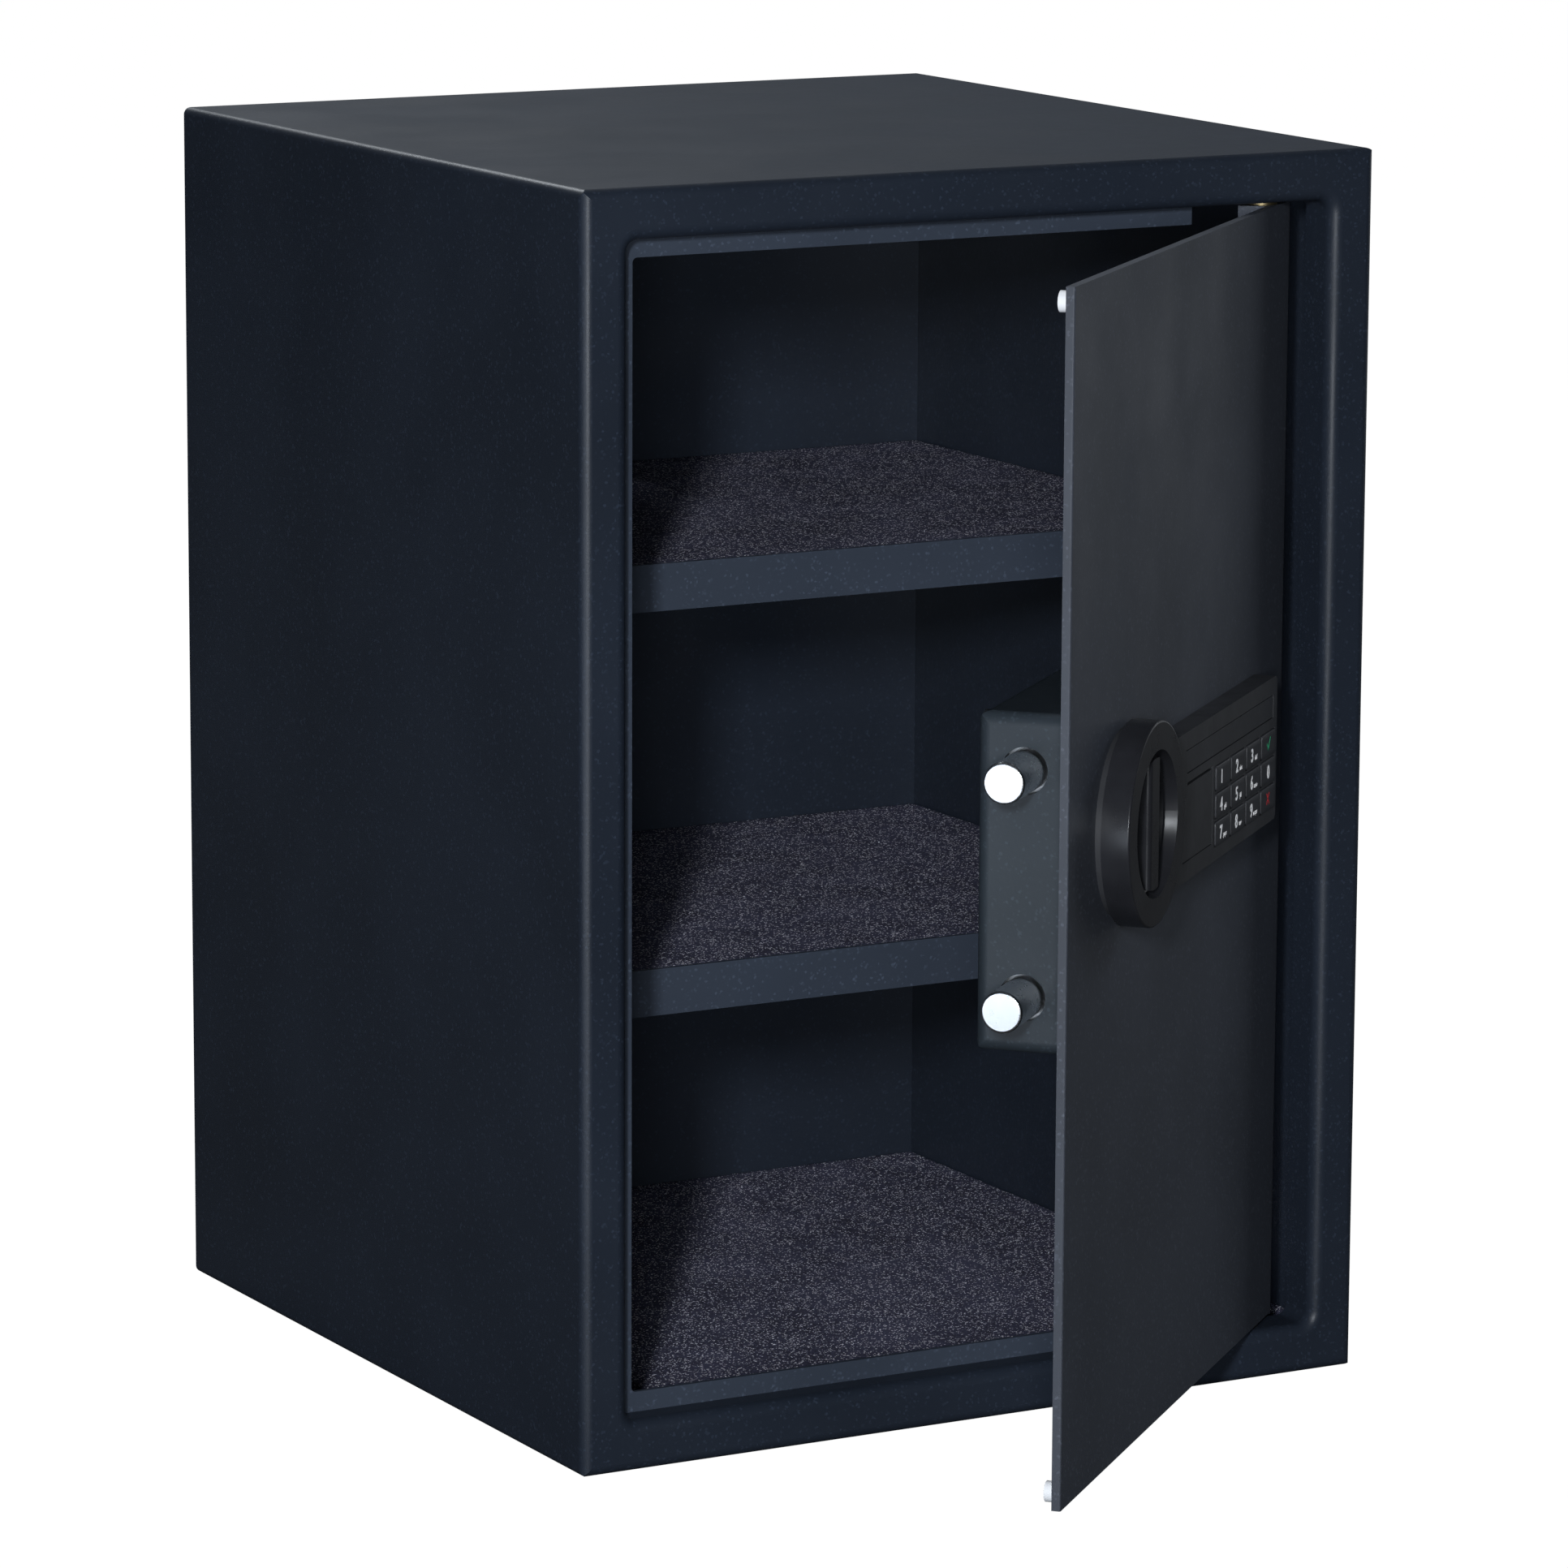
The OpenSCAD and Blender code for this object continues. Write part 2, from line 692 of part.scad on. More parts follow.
module bolt_bar() {
    bar_h = bolt_gap + bolt_d;
    slot_w = cam_pin_d + 0.9;
    slot_low = knob_z - door_mid + bar_h / 2 + cam_reach / sqrt(2) - slot_w / 2;
    slot_h = slot_w + cam_reach * (1 - 1 / sqrt(2));
    hole_z = plunger_z - door_mid + bar_h / 2;
    color(ZINC) on_back(bar_left, door_mid - bar_h / 2)
        translate([0, 0, bolt_back - bar_t / 2]) difference() {
            cube([bar_w, bar_h, bar_t]);
            translate([knob_u + bolt_throw / 2 - bar_left - slot_w / 2, slot_low, -over])
                cube([slot_w, slot_h, bar_t + 2 * over]);
            for (u = [0, bolt_throw])
                translate([plunger_u - bar_left + u, hole_z, -over])
                    cylinder(d = plunger_d + 2 * gap, h = bar_t + 2 * over);
        }
}

// The dished knob with its grip bar, pressed on the spindle
module knob() {
    thick = knob_h - knob_gap;
    floor_h = 3;                           // thickness of the knob's floor
    dish_low = recess_d / 2 - 4;           // radius of the recess at its floor
    step = 1.5;                            // slope of each half of the recess's wall
    step_h = 6;                            // height of the step between the halves
    edge = 0.8;                            // rounding of the rim
    color(PLASTIC) on_face(knob_u, knob_z) translate([0, 0, knob_gap]) difference() {
        union() {
            rotate_extrude($fn = 96) difference() {
                union() {
                    square([knob_d / 2, thick - edge]);
                    square([knob_d / 2 - edge, thick]);
                    translate([knob_d / 2 - edge, thick - edge]) circle(edge);
                }
                polygon([[-over, floor_h], [dish_low, floor_h], [dish_low + step, step_h],
                    [recess_d / 2 - step, step_h + 0.5], [recess_d / 2, thick],
                    [recess_d / 2, thick + over], [-over, thick + over]]);
            }
            intersection() {
                grip_bar(thick - edge, floor_h);
                cylinder(r = dish_low + 1, h = thick);
            }
        }
        translate([0, 0, -over]) cylinder(d = spindle_d + 2 * EPS, h = spindle_in + over);
    }
}

// The grip across the knob's recess, with round long edges
module grip_bar(top, low) {
    soft = 2;
    translate([0, recess_d / 2, 0]) rotate([90, 0, 0]) linear_extrude(recess_d) {
        translate([-grip_w / 2, low - over]) square([grip_w, top - soft - low + over]);
        translate([-grip_w / 2 + soft, low - over]) square([grip_w - 2 * soft, top - low + over]);
        for (s = [-1, 1]) translate([s * (grip_w / 2 - soft), top - soft]) circle(soft);
    }
}

module knob_spindle() {
    color(ZINC) on_face(knob_u, knob_z) translate([0, 0, -door_t - cam_back])
        cylinder(d = spindle_d, h = door_t + cam_back + knob_gap + spindle_in);
}

module spindle_bush() {
    color(BRASS) on_face(knob_u, knob_z) translate([0, 0, -door_t - bush_in]) difference() {
        cylinder(d = bush_d, h = door_t + bush_in);
        translate([0, 0, -over])
            cylinder(d = spindle_d + 2 * run, h = door_t + bush_in + 2 * over);
    }
}

// The disc on the spindle's end, whose pin drives the bolt bar
module drive_cam() {
    pin = cam_reach / sqrt(2);
    color(ZINC) on_back(knob_u, knob_z) translate([0, 0, cam_back]) {
        cylinder(r = cam_reach + cam_pin_d / 2 + 2, h = cam_t);
        translate([pin, pin, 0])
            cylinder(d = cam_pin_d, h = bolt_back + bar_t / 2 + 2 - cam_back - 2 * gap);
    }
}

// The housing's outline right of the knob
module pad_outline(inset) {
    r = 3;
    w = pad_right - knob_u - inset;
    h = pad_high - pad_low - 2 * inset;
    translate([w / 2, (pad_low + pad_high) / 2 - knob_z])
        rounded_rect(w, h, max(r - inset, 0.5));
}

// A strip of the housing's face from the arc round the knob to the right end
module insert_outline(zs, right, inset) {
    difference() {
        translate([0, zs[0] - knob_z + inset])
            square([right - knob_u - inset, zs[1] - zs[0] - 2 * inset]);
        circle(insert_r + inset, $fn = 96);
    }
}

module keypad_housing() {
    base_h = knob_gap - gap;
    ledge = cover_sink + 2;
    color(PLASTIC) on_face(knob_u, knob_z) difference() {
        union() {
            cylinder(d = knob_d - 2 * knob_gap, h = base_h);
            linear_extrude(base_h) pad_outline(0);
            linear_extrude(pad_h) difference() {
                pad_outline(0);
                circle(knob_d / 2 + knob_clear, $fn = 96);
            }
        }
        translate([0, 0, -over]) cylinder(d = bush_d + 1, h = base_h + 2 * over);
        // hollow behind the face, with bosses left for the screws
        difference() {
            translate([0, 0, -over]) linear_extrude(pad_h - pad_wall + over) difference() {
                pad_outline(pad_wall);
                circle(knob_d / 2 + knob_clear + pad_wall, $fn = 96);
            }
            for (p = screw_spots) translate([p[0] - knob_u, p[1] - knob_z, -2 * over])
                cylinder(d = post_d, h = pad_h + 3 * over);
            translate([0, 0, pad_h - ledge]) linear_extrude(ledge) insert_outline(
                [cover_z[0] - 2, cover_z[1] + 2], cover_right + 2, 0);
        }
        for (p = screw_spots) translate([p[0] - knob_u, p[1] - knob_z, -over])
            cylinder(d = pad_screw_d, h = pad_screw_in + 1 + over);
        // the two inserts' recesses and the override lock's hole
        translate([0, 0, pad_h - window_t - 0.2]) linear_extrude(window_t + over)
            insert_outline(window_z, window_right, 0);
        translate([0, 0, pad_h - cover_sink]) linear_extrude(cover_sink + over)
            insert_outline([cover_z[0], cover_z[1] + nail_gap], cover_right, 0);
        translate([barrel_u - knob_u, barrel_z - knob_z, -over])
            cylinder(d = barrel_d + 2 * gap, h = pad_h + 2 * over);
        for (i = [0:11]) translate([key_u + (i % 4) * key_step_u - knob_u,
                key_z - floor(i / 4) * key_step_z - knob_z, pad_h])
            cube([key_w + 2 * key_play, key_h + 2 * key_play, 2 * pad_wall + over],
                center = true);
    }
}

module housing_screws() {
    color(ZINC) for (p = screw_spots) on_back(p[0], p[1]) {
        cylinder(d = 2 * pad_screw_d, h = 2);
        translate([0, 0, -door_t - pad_screw_in])
            cylinder(d = pad_screw_d, h = door_t + pad_screw_in + EPS);
    }
}

module indicator_window() {
    color(GLOSS) on_face(knob_u, knob_z) translate([0, 0, pad_h - window_t - 0.2])
        linear_extrude(window_t) insert_outline(window_z, window_right, insert_gap);
}

module override_cover() {
    color(PLASTIC) on_face(knob_u, knob_z) translate([0, 0, pad_h - cover_sink])
        linear_extrude(cover_sink - 0.1) insert_outline(cover_z, cover_right, insert_gap);
}

module circuit_board() {
    color("#1f5a38") on_face(cover_right + 4.5, pad_low + 5) translate([0, 0, 1])
        cube(board_size);
}

module lock_barrel() {
    color(BRASS) on_face(barrel_u, barrel_z) translate([0, 0, -door_t - barrel_deep])
        difference() {
            cylinder(d = barrel_d, h = door_t + barrel_deep + pad_h - cover_sink - gap);
            translate([0, 0, -over])
                cylinder(d = plug_d + 2 * run, h = door_t + barrel_deep + pad_h + 2 * over);
        }
}

module lock_plug() {
    top = pad_h - cover_sink - gap;
    end = -door_t - barrel_deep - 2;
    keyway = [1.6, 8, 16];
    tab = [12, 6, 2];
    color(CHROME) on_face(barrel_u, barrel_z) difference() {
        union() {
            translate([0, 0, end]) cylinder(d = plug_d, h = top - end);
            translate([0, -tab[1] / 2, end - tab[2] + 0.5]) cube(tab);
        }
        translate([-keyway[0] / 2, -keyway[1] / 2, top - keyway[2]])
            cube([keyway[0], keyway[1], keyway[2] + over]);
    }
}

module barrel_nut() {
    nut_d = 28;
    nut_h = 4;
    color(ZINC) on_back(barrel_u, barrel_z) difference() {
        cylinder(d = nut_d, h = nut_h, $fn = 6);
        translate([0, 0, -over]) cylinder(d = barrel_d, h = nut_h + 2 * over);
    }
}

// One key: a cap in the housing's face, held in by a flange behind it
module keypad_key(column, row) {
    color(PLASTIC) on_face(key_u + column * key_step_u, key_z - row * key_step_z) {
        translate([-key_w / 2, -key_h / 2, key_low])
            cube([key_w, key_h, pad_h + key_proud - key_low]);
        translate([-key_w / 2 - key_flange, -key_h / 2 - key_flange, key_low])
            cube([key_w + 2 * key_flange, key_h + 2 * key_flange, key_flange_t]);
    }
}

body_shell();
back_panel();
front_frame();
stop_lip();
bolt_keeper();
floor_pan();
floor_mat();
shelf(shelf_up_top);  // shelf_upper
shelf_mat(shelf_up_top);  // shelf_upper_mat
shelf(shelf_low_top);  // shelf_lower
shelf_mat(shelf_low_top);  // shelf_lower_mat
shelf_brackets(shelf_up_top);  // shelf_brackets_upper
shelf_brackets(shelf_low_top);  // shelf_brackets_lower
hinge_bracket_upper();
hinge_bracket_lower();
door_plate();
hinge_knuckle(door_z + door_h - knuckle_h);  // hinge_knuckle_upper
hinge_knuckle(door_z);  // hinge_knuckle_lower
hinge_pin(door_z + door_h - knuckle_h);  // hinge_pin_upper
hinge_pin(door_z - pin_reach);  // hinge_pin_lower
hinge_washers();
door_bumpers();
lock_case();
case_posts();
case_screws();
bolt_guide();
solenoid_body();
battery_tray();
batteries();
reset_switch();
keypad_housing();
housing_screws();
indicator_window();
circuit_board();
spindle_bush();
lock_barrel();
barrel_nut();
knob();
knob_spindle();
drive_cam();
locking_bolts();
bolt_bar();
solenoid_plunger();
override_cover();
lock_plug();
battery_cover();
reset_button();
for (i = [0:11]) keypad_key(i % 4, floor(i / 4));
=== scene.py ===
"""Looks of the hotel-room safe: powder-coated steel, felt mats, satin plastic and chrome bolts.

Lengths are in metres. The CAD model gives every place: mats and keys are built on the
boxes of the nodes that they stand for, and the door's directions come from its joints.
"""

import json
import math

import bmesh
import bpy
from mathutils import Matrix, Vector, noise


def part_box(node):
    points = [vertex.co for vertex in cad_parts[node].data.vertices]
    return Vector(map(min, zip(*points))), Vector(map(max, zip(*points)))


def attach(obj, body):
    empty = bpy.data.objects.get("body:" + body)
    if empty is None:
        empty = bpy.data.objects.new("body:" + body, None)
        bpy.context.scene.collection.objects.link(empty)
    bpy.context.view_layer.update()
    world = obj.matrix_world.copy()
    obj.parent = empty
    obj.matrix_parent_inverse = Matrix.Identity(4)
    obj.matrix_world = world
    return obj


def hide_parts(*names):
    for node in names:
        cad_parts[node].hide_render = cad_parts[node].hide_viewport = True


MM = 0.001
INK = 0.02 * MM  # half the thickness of a mark printed on a key
STROKE = 0.75 * MM  # width of the tick's and the cross's lines
DIGIT_SIZE, LETTER_SIZE = 7.4 * MM, 2.9 * MM
BASELINE = -2.7 * MM  # of a key's number, from the key's middle
LETTERS = {"2": "abc", "3": "def", "4": "ghi", "5": "jkl", "6": "mno", "7": "pqrs",
           "8": "tuv", "9": "wxyz"}

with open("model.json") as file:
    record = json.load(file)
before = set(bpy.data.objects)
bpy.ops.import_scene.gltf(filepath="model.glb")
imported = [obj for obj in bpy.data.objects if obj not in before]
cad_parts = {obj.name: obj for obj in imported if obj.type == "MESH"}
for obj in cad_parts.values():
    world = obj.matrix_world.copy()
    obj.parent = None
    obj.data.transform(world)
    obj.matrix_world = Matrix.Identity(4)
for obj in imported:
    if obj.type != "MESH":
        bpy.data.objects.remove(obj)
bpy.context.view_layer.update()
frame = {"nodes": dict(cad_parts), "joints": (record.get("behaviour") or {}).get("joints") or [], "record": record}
nodes = frame["nodes"]


# ---------------------------------------------------------------- camera and stage

def add_object(name, data):
    made = bpy.data.objects.new(name, data)
    bpy.context.scene.collection.objects.link(made)
    return made


def add_camera():
    """The view from left of the safe's front and a little above it."""
    location = Vector((-1.4396, -2.6069, 0.7959))
    yaw, pitch, roll = (math.radians(a) for a in (29.076, 10.797, 0.281))
    forward = Vector((math.sin(yaw) * math.cos(pitch), math.cos(yaw) * math.cos(pitch),
                      -math.sin(pitch)))
    level = Vector((math.cos(yaw), -math.sin(yaw), 0))
    upward = level.cross(forward)
    right = level * math.cos(roll) + upward * math.sin(roll)
    up = upward * math.cos(roll) - level * math.sin(roll)
    data = bpy.data.cameras.new("camera")
    data.sensor_width = 36
    data.lens = 168.2
    data.clip_start = 0.05
    turn = Matrix((right, up, -forward)).transposed()
    camera = add_object("camera", data)
    camera.matrix_world = Matrix.Translation(location) @ turn.to_4x4()
    bpy.context.scene.camera = camera


def add_panel(name, place, target, width, height, power, colour):
    """A soft area light that faces the target and that the camera can't see."""
    data = bpy.data.lights.new(name, "AREA")
    data.shape = "RECTANGLE"
    data.size = width
    data.size_y = height
    data.energy = power
    data.color = colour
    lamp = add_object(name, data)
    lamp.location = place
    aim = Vector(target) - Vector(place)
    lamp.rotation_euler = aim.to_track_quat("-Z", "Y").to_euler()
    lamp.visible_camera = False
    return lamp


def show_two_ways(tree, lit, seen, output):
    """Sends seen to the camera's own rays and lit to all others."""
    path = tree.nodes.new("ShaderNodeLightPath")
    mix = tree.nodes.new("ShaderNodeMixShader")
    tree.links.new(path.outputs["Is Camera Ray"], mix.inputs[0])
    tree.links.new(lit, mix.inputs[1])
    tree.links.new(seen, mix.inputs[2])
    tree.links.new(mix.outputs[0], output)


def add_surroundings():
    """White to the eye and dim as a light."""
    world = bpy.data.worlds.new("studio")
    bpy.context.scene.world = world
    world.use_nodes = True
    tree = world.node_tree
    dim = tree.nodes["Background"]
    dim.inputs["Color"].default_value = (0.75, 0.86, 1.0, 1)
    dim.inputs["Strength"].default_value = 0.03
    white = tree.nodes.new("ShaderNodeBackground")
    white.inputs["Color"].default_value = (1, 1, 1, 1)
    show_two_ways(tree, dim.outputs[0], white.outputs[0], tree.nodes["World Output"].inputs[0])


def add_floor():
    """A wide floor, white to the eye and dark as a reflector."""
    half = 30
    mesh = bpy.data.meshes.new("floor")
    mesh.from_pydata([(x * half, y * half, 0) for x, y in ((-1, -1), (1, -1), (1, 1), (-1, 1))],
                     [], [(0, 1, 2, 3)])
    floor = add_object("floor", mesh)
    pale = bpy.data.materials.new("pale_floor")
    pale.use_nodes = True
    tree = pale.node_tree
    tree.nodes.clear()
    paper = tree.nodes.new("ShaderNodeBsdfDiffuse")
    paper.inputs["Color"].default_value = (0.03, 0.03, 0.03, 1)
    glow = tree.nodes.new("ShaderNodeEmission")
    glow.inputs["Strength"].default_value = 1.0
    both = tree.nodes.new("ShaderNodeAddShader")
    out = tree.nodes.new("ShaderNodeOutputMaterial")
    tree.links.new(paper.outputs[0], both.inputs[0])
    tree.links.new(glow.outputs[0], both.inputs[1])
    show_two_ways(tree, paper.outputs[0], both.outputs[0], out.inputs[0])
    mesh.materials.append(pale)


def add_lights():
    """The key light from the front left, fills, and wide sheens for the paint to mirror."""
    middle = (0, 0, 0.25)
    bolts = (-0.087, -0.339, 0.25)
    sky, cool, plain = (0.78, 0.87, 1.0), (0.9, 0.95, 1.0), (1.0, 1.0, 1.0)
    key = add_panel("key", (-1.74, -2.59, 1.1), middle, 0.16, 0.3, 108, plain)
    rear_low = add_panel("rear_low", (0.15, 2.8, 1.2), middle, 0.9, 0.9, 75, cool)
    right_fill = add_panel("right_fill", (2.6, 0.5, 1.5), middle, 0.9, 0.9, 40, cool)
    # Mirrored in the top, these would glare white in views from their far side
    for lamp in (key, rear_low, right_fill):
        lamp.visible_glossy = False
    add_panel("front_fill", (-1.42, -2.55, 0.6), middle, 0.3, 0.3, 32, cool)
    add_panel("back_sheen", (1.5, 2.7, 0.75), middle, 3.4, 1.5, 2.2, sky)
    add_panel("right_sheen", (2.4, 0.9, 0.55), middle, 2.2, 1.6, 5.2, cool)
    add_panel("rear", (-0.1, 2.0, 2.6), middle, 0.9, 0.9, 50, cool)
    add_panel("bolt_sheen", (-0.95, -0.76, 0.13), bolts, 0.8, 0.35, 2.3, sky)


# ---------------------------------------------------------------- materials

class Finish:
    """A material with its Principled shader and a few ways to vary it over the surface."""

    def __init__(self, name, colour, roughness, metallic=0.0, **sockets):
        self.material = bpy.data.materials.new(name)
        self.material.use_nodes = True
        self.tree = self.material.node_tree
        self.shader = self.tree.nodes["Principled BSDF"]
        self.colour = colour
        self.shader.inputs["Base Color"].default_value = (*colour, 1)
        self.shader.inputs["Roughness"].default_value = roughness
        self.shader.inputs["Metallic"].default_value = metallic
        for socket, value in sockets.items():
            self.shader.inputs[socket.replace("_", " ")].default_value = value
        self.place = self.tree.nodes.new("ShaderNodeTexCoord").outputs["Object"]

    def pattern(self, size, detail=2.0, rough=0.5, stretch=(1, 1, 1)):
        """Noise whose features are about size metres across."""
        source = self.place
        if stretch != (1, 1, 1):
            mapping = self.tree.nodes.new("ShaderNodeMapping")
            mapping.inputs["Scale"].default_value = stretch
            self.tree.links.new(source, mapping.inputs["Vector"])
            source = mapping.outputs["Vector"]
        made = self.tree.nodes.new("ShaderNodeTexNoise")
        made.inputs["Scale"].default_value = 1 / size
        made.inputs["Detail"].default_value = detail
        made.inputs["Roughness"].default_value = rough
        self.tree.links.new(source, made.inputs["Vector"])
        return made.outputs["Fac"]

    def cells(self, size):
        """A random value for each cell about size metres across."""
        made = self.tree.nodes.new("ShaderNodeTexVoronoi")
        made.inputs["Scale"].default_value = 1 / size
        self.tree.links.new(self.place, made.inputs["Vector"])
        split = self.tree.nodes.new("ShaderNodeSeparateColor")
        self.tree.links.new(made.outputs["Color"], split.inputs[0])
        return split.outputs[0]

    def ramp(self, value, low, high, start, end):
        """Maps value from low..high to start..end, clamped."""
        made = self.tree.nodes.new("ShaderNodeMapRange")
        made.inputs["From Min"].default_value = low
        made.inputs["From Max"].default_value = high
        made.inputs["To Min"].default_value = start
        made.inputs["To Max"].default_value = end
        self.tree.links.new(value, made.inputs["Value"])
        return made.outputs["Result"]

    def tint(self, value, other):
        """Mixes the base colour towards other by value."""
        mix = self.tree.nodes.new("ShaderNodeMix")
        mix.data_type = "RGBA"
        sockets = [s for s in mix.inputs if s.type == "RGBA"]
        old = self.shader.inputs["Base Color"]
        if old.is_linked:
            self.tree.links.new(old.links[0].from_socket, sockets[0])
        else:
            sockets[0].default_value = (*self.colour, 1)
        sockets[1].default_value = (*other, 1)
        self.tree.links.new(value, mix.inputs[0])
        result = next(s for s in mix.outputs if s.type == "RGBA")
        self.tree.links.new(result, old)

    def roughen(self, value):
        self.tree.links.new(value, self.shader.inputs["Roughness"])

    def relief(self, value, height):
        """Adds a bump of about height metres."""
        bump = self.tree.nodes.new("ShaderNodeBump")
        bump.inputs["Strength"].default_value = 1.0
        bump.inputs["Distance"].default_value = height
        self.tree.links.new(value, bump.inputs["Height"])
        socket = self.shader.inputs["Normal"]
        if socket.is_linked:
            self.tree.links.new(socket.links[0].from_socket, bump.inputs["Normal"])
        self.tree.links.new(bump.outputs["Normal"], socket)


def scaled(colour, factor):
    return tuple(c * factor for c in colour)


def powder_coat(name, colour, roughness, grain=1.0):
    """Baked powder paint: fine orange peel, painted glints as lighter specks in its colour, and faint unevenness.
    """
    paint = Finish(name, colour, roughness)
    paint.tint(paint.ramp(paint.pattern(0.09, 3), 0.35, 0.65, 0, 1), scaled(colour, 1.22))
    # Painted glints: lighter specks in the base colour stand in for the sparkle of the powder grain
    paint.tint(paint.ramp(paint.cells(0.9 * MM), 0.9, 1.0, 0, 0.55), scaled(colour, 2.6))
    paint.roughen(paint.ramp(paint.pattern(0.05, 4), 0.3, 0.7, roughness - 0.05,
                             roughness + 0.06))
    paint.relief(paint.pattern(2.4 * MM, 2), 0.03 * MM * grain)
    paint.relief(paint.pattern(0.8 * MM, 3, 0.6), 0.03 * MM * grain)
    return paint.material


def moulded(name, colour, roughness, grain=1.0, wear=1.5):
    """Moulded plastic with a fine spark-eroded grain and lighter rubbed patches."""
    plastic = Finish(name, colour, roughness)
    plastic.tint(plastic.ramp(plastic.pattern(0.03, 4), 0.5, 0.75, 0, 1), scaled(colour, wear))
    plastic.roughen(plastic.ramp(plastic.pattern(0.012, 4), 0.3, 0.7, roughness - 0.06,
                                 roughness + 0.06))
    plastic.relief(plastic.pattern(0.35 * MM, 2), 0.008 * MM * grain)
    return plastic.material


def bare_metal(name, colour, roughness, grain=(1, 1, 1), stain=0.75):
    """Bare or plated metal with drawn streaks and dull patches."""
    metal = Finish(name, colour, roughness, metallic=1.0)
    metal.tint(metal.ramp(metal.pattern(0.02, 5), 0.45, 0.8, 0, 1), scaled(colour, stain))
    metal.roughen(metal.ramp(metal.pattern(0.006, 4, 0.6, grain), 0.25, 0.75,
                             roughness * 0.75, roughness * 1.35))
    metal.relief(metal.pattern(0.4 * MM, 3, 0.6, grain), 0.01 * MM)
    return metal.material


def felt(name):
    """Needle-felt carpet: a dark curly nap with bright fibres scattered through it."""
    dark, pale = (0.050, 0.053, 0.090), (0.85, 0.87, 0.97)
    carpet = Finish(name, dark, 0.95, Specular_IOR_Level=0.12)
    carpet.tint(carpet.ramp(carpet.pattern(1.3 * MM, 3, 0.7), 0.38, 0.62, 0, 1),
                scaled(dark, 0.35))
    carpet.tint(carpet.ramp(carpet.pattern(0.03, 3), 0.35, 0.7, 0, 0.5), scaled(dark, 1.5))
    carpet.tint(carpet.ramp(carpet.cells(0.5 * MM), 0.91, 0.94, 0, 0.9), pale)
    carpet.relief(carpet.pattern(2.2 * MM, 4, 0.7), 0.6 * MM)
    carpet.relief(carpet.pattern(0.7 * MM, 2, 0.7), 0.3 * MM)
    return carpet.material


FINISHES = {
    "body_paint": (powder_coat, (0.0079, 0.0110, 0.0175), 0.42),
    "inner_paint": (powder_coat, (0.0195, 0.0255, 0.0375), 0.48),
    "door_paint": (powder_coat, (0.026, 0.030, 0.039), 0.5, 0.8),
    "case_paint": (powder_coat, (0.0120, 0.0165, 0.0215), 0.5, 0.8),
    "carpet": (felt,),
    "zinc": (bare_metal, (0.52, 0.53, 0.54), 0.38, (1, 1, 6)),
    "brass": (bare_metal, (0.33, 0.26, 0.14), 0.45),
    "rubber": (moulded, (0.5, 0.52, 0.55), 0.5, 1.0, 1.15),
    "coil": (moulded, (0.03, 0.08, 0.2), 0.4),
    "black_plastic": (moulded, (0.012, 0.012, 0.013), 0.45, 2.0),
    "cell": (moulded, (0.45, 0.3, 0.07), 0.3, 0.5),
    "pad_plastic": (moulded, (0.016, 0.017, 0.0195), 0.44),
    "knob_plastic": (moulded, (0.0085, 0.009, 0.011), 0.3),
    "key_plastic": (moulded, (0.017, 0.018, 0.021), 0.44),
    "gloss_window": (moulded, (0.015, 0.016, 0.019), 0.38, 0.3),
    "board": (moulded, (0.01, 0.09, 0.035), 0.4),
    "chrome": (bare_metal, (0.93, 0.94, 0.96), 0.24, (1, 1, 1), 0.95),
    "red_plastic": (moulded, (0.4, 0.02, 0.03), 0.35),
    "white_ink": (moulded, (0.82, 0.83, 0.85), 0.5, 0.5, 0.94),
    "green_ink": (moulded, (0.015, 0.28, 0.13), 0.5, 0.5, 0.94),
    "red_ink": (moulded, (0.42, 0.02, 0.025), 0.5, 0.5, 0.94),
}


def make_finishes():
    """A material for each of the record's slots, and three inks."""
    return {name: make(name, *values) for name, (make, *values) in FINISHES.items()}


def paint_nodes(finishes):
    """Gives each CAD node the material of its slot."""
    for part in frame["record"]["subparts"]:
        data = nodes[part["node"]].data
        data.materials.clear()
        data.materials.append(finishes[part["material_slot"]])


# ---------------------------------------------------------------- pieces

def add_piece(name, bm, material, body, smooth=True):
    """Turns a bmesh in the rest frame into a piece that rides on a body."""
    bmesh.ops.recalc_face_normals(bm, faces=bm.faces)
    mesh = bpy.data.meshes.new(name)
    bm.to_mesh(mesh)
    bm.free()
    mesh.materials.append(material)
    for face in mesh.polygons:
        face.use_smooth = smooth
    piece = add_object(name, mesh)
    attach(piece, body)
    return piece


def rounding(radius):
    """Four steps round a quarter circle: by how much sine and cosine fall short of radius."""
    for k in range(4):
        angle = math.pi / 6 * k
        yield radius * (1 - math.sin(angle)), radius * (1 - math.cos(angle))


def join_rings(bm, rings):
    """Faces between each ring of vertices and the next."""
    for first, second in zip(rings, rings[1:]):
        for k in range(len(first)):
            n = (k + 1) % len(first)
            bm.faces.new((first[k], first[n], second[n], second[k]))


def rim(columns, rows):
    """Grid places round the edge of a grid, in order."""
    return ([(i, 0) for i in range(columns)] + [(columns, j) for j in range(rows)]
            + [(i, rows) for i in range(columns, 0, -1)] + [(0, j) for j in range(rows, 0, -1)])


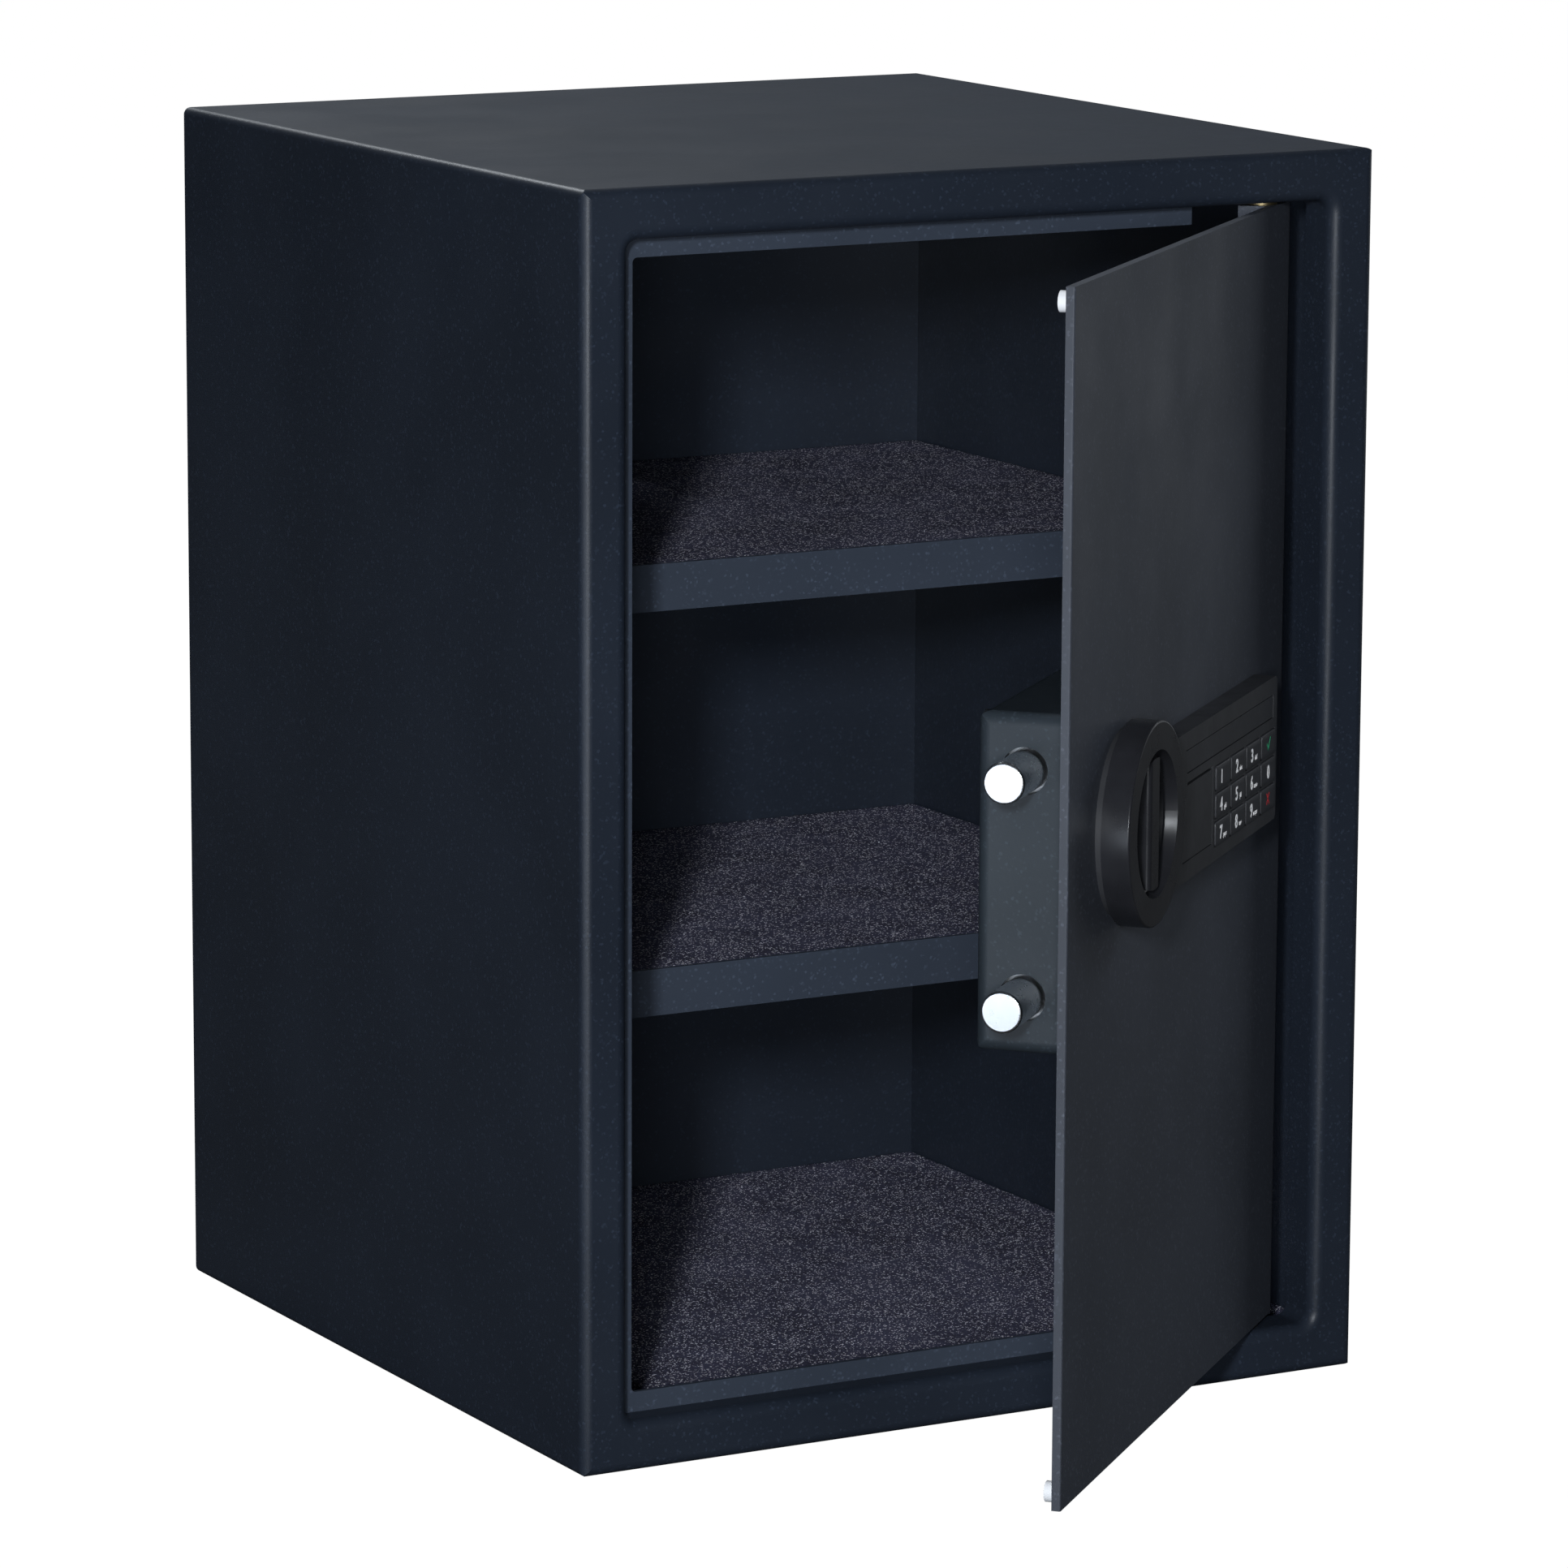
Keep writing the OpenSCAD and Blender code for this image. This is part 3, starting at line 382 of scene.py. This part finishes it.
def lay_mat(name, node, finishes):
    """A felt mat with a soft uneven top and rounded cut edges."""
    low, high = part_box(node)
    cell, edge, nap = 3 * MM, 0.9 * MM, 0.22 * MM
    columns, rows = (max(2, round((high[i] - low[i]) / cell)) for i in (0, 1))
    bm = bmesh.new()

    def corner(i, j, z, inset):
        x = low.x + inset + (high.x - low.x - 2 * inset) * i / columns
        y = low.y + inset + (high.y - low.y - 2 * inset) * j / rows
        return bm.verts.new((x, y, z))

    top = []
    for i in range(columns + 1):
        top.append([])
        for j in range(rows + 1):
            vert = corner(i, j, high.z - nap, edge)
            vert.co.z += nap * noise.noise(vert.co / (4 * MM))
            top[i].append(vert)
    for i in range(columns):
        for j in range(rows):
            bm.faces.new((top[i][j], top[i + 1][j], top[i + 1][j + 1], top[i][j + 1]))
    around = rim(columns, rows)
    rings = [[top[i][j] for i, j in around]]
    for inset, drop in list(rounding(edge))[1:]:
        rings.append([corner(i, j, high.z - (nap + drop), inset) for i, j in around])
    rings.append([corner(i, j, low.z, 0) for i, j in around])
    join_rings(bm, rings)
    bm.faces.new(rings[-1])
    mat = add_piece(name, bm, finishes["carpet"], "cabinet")
    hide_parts(node)
    return mat, (high.x - low.x, high.y - low.y)


# The door's own directions at rest, from its joints
axes = {joint["name"]: Vector(joint["axis"]) for joint in frame["joints"]}
door_out = axes["knob_turn"]
door_right = -axes["bolt_throw"]
door_up = Vector((0, 0, 1))
door_turn = Matrix((door_right, door_up, door_out)).transposed().to_4x4()


def door_span(node):
    """Lowest and highest corner of a node along the door's right, up and out."""
    back = door_turn.inverted()
    points = [back @ v.co for v in nodes[node].data.vertices]
    return (Vector(min(p[i] for p in points) for i in range(3)),
            Vector(max(p[i] for p in points) for i in range(3)))


def rounded_outline(width, height, radius, steps=5):
    """Points round a rectangle with round corners, centred."""
    points = []
    for quarter, (sx, sy) in enumerate(((1, 1), (-1, 1), (-1, -1), (1, -1))):
        for k in range(steps + 1):
            angle = math.pi / 2 * (quarter + k / steps)
            points.append((sx * (width / 2 - radius) + radius * math.cos(angle),
                           sy * (height / 2 - radius) + radius * math.sin(angle)))
    return points


def soft_slab(width, height, radius, low, high, edge, dish=0.0):
    """A slab with round corners and a rounded top edge; dish hollows its top."""
    bm = bmesh.new()
    levels = [(low, 0.0)]
    for drop, inset in rounding(edge):
        levels.append((high - drop, inset))
    levels.append((high - dish, edge + height * 0.2))
    rings = []
    for z, inset in levels:
        outline = rounded_outline(width - 2 * inset, height - 2 * inset,
                                  max(radius - inset, 0.1 * MM))
        rings.append([bm.verts.new((x, y, z)) for x, y in outline])
    join_rings(bm, rings)
    bm.faces.new(rings[0])
    bm.faces.new(rings[-1])
    return bm


def text_mesh(body, size, bold):
    """Flat letters as a mesh, with the middle of their baseline at the origin."""
    curve = bpy.data.curves.new("glyphs", "FONT")
    curve.body = body
    curve.size = size
    curve.align_x = "CENTER"
    curve.offset = bold
    curve.extrude = INK
    curve.resolution_u = 4
    carrier = add_object("glyphs", curve)
    bpy.context.view_layer.update()
    shape = carrier.evaluated_get(bpy.context.evaluated_depsgraph_get())
    mesh = bpy.data.meshes.new_from_object(shape)
    bpy.data.objects.remove(carrier)
    bpy.data.curves.remove(curve)
    return mesh


def stroke(bm, points):
    """A thin raised line through the points, for the tick and the cross."""
    for start, end in zip(points, points[1:]):
        start, end = Vector(start), Vector(end)
        along = (end - start).normalized() * STROKE / 2
        side = Vector((-along.y, along.x))
        corners = (start - along - side, end + along - side,
                   end + along + side, start - along + side)
        low, high = ([bm.verts.new((p.x, p.y, z)) for p in corners] for z in (-INK, INK))
        bm.faces.new(low)
        bm.faces.new(high)
        join_rings(bm, [low, high])


def add_legend(key, centre, top, finishes):
    """The number printed on a key, with its small letters, or the tick or cross."""
    sign = key.split("_")[1]
    bm = bmesh.new()
    ink = "white_ink"
    if sign == "enter":
        ink = "green_ink"
        stroke(bm, [(-2.0 * MM, 0.2 * MM), (-0.7 * MM, -1.9 * MM), (2.2 * MM, 2.3 * MM)])
    elif sign == "clear":
        ink = "red_ink"
        for s in (-1, 1):
            stroke(bm, [(-1.7 * MM * s, -1.9 * MM), (1.7 * MM * s, 1.9 * MM)])
    else:
        digit = text_mesh(sign, DIGIT_SIZE, 0.16 * MM)
        aside = 0 if sign == "0" else -2.6 * MM
        digit.transform(Matrix.Translation((aside, BASELINE, 0)))
        bm.from_mesh(digit)
        if sign in LETTERS:
            small = text_mesh(LETTERS[sign], LETTER_SIZE, 0.03 * MM)
            small.transform(Matrix.Translation((3.2 * MM, BASELINE, 0)))
            bm.from_mesh(small)
    spot = Matrix.Translation((centre.x, centre.y, top + INK))
    bmesh.ops.transform(bm, matrix=door_turn @ spot, verts=bm.verts)
    add_piece("legend_" + sign, bm, finishes[ink], key, smooth=False)


def add_keys(finishes):
    """Twelve caps with soft edges and a shallow dish, each on its own key's body."""
    flange, radius, edge, dish = 0.5 * MM, 1.1 * MM, 0.3 * MM, 0.06 * MM
    for key in [n for n in nodes if n.startswith("key_")]:
        low, high = door_span(key)
        centre = (low + high) / 2
        bm = soft_slab(high.x - low.x - 2 * flange, high.y - low.y - 2 * flange, radius,
                       low.z, high.z, edge, dish)
        spot = Matrix.Translation((centre.x, centre.y, 0))
        bmesh.ops.transform(bm, matrix=door_turn @ spot, verts=bm.verts)
        cap = add_piece("cap_" + key, bm, finishes["key_plastic"], key)
        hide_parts(key)
        add_legend(key, centre, high.z - 0.05 * MM, finishes)


# ---------------------------------------------------------------- the scene

bpy.context.scene.view_settings.view_transform = "Standard"
add_camera()
add_surroundings()
add_floor()
add_lights()
looks = make_finishes()
paint_nodes(looks)
for mat_name, mat_node, shelf in (("felt_floor", "floor_mat", "floor_pan"),
                                  ("felt_lower", "shelf_lower_mat", "shelf_lower"),
                                  ("felt_upper", "shelf_upper_mat", "shelf_upper")):
    felt_mat, cut = lay_mat(mat_name, mat_node, looks)
add_keys(looks)
